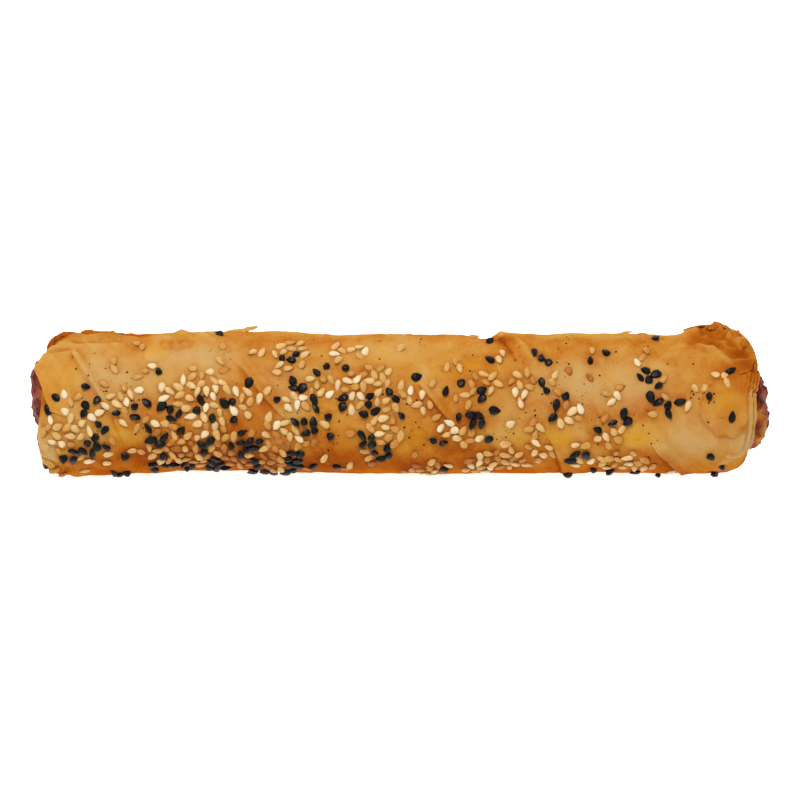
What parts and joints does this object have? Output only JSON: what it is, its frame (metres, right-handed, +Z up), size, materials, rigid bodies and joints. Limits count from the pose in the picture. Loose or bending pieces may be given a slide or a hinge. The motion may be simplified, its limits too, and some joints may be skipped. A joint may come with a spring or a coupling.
{
  "type": "rolled borek",
  "caption": "Baked stick of thin pastry wound round a savoury filling that shows at both ends, strewn with white sesame and black nigella seeds.",
  "frame": {"origin": "middle of the flat underside, on the surface that the roll lies on", "axes": "+X along the roll towards the end with the flared crust, -Y to the front, +Z up"},
  "size_m": [0.1967, 0.0399, 0.0342],
  "materials": {
    "pastry": "golden brown baked pastry with a satin glaze",
    "filling": "dark, moist, lumpy baked filling",
    "sesame": "smooth cream to toasted sesame seed",
    "nigella": "rough black nigella seed"
  },
  "bodies": {
    "root": {"pastry_roll": "pastry", "filling": "filling"}
  },
  "joints": []
}
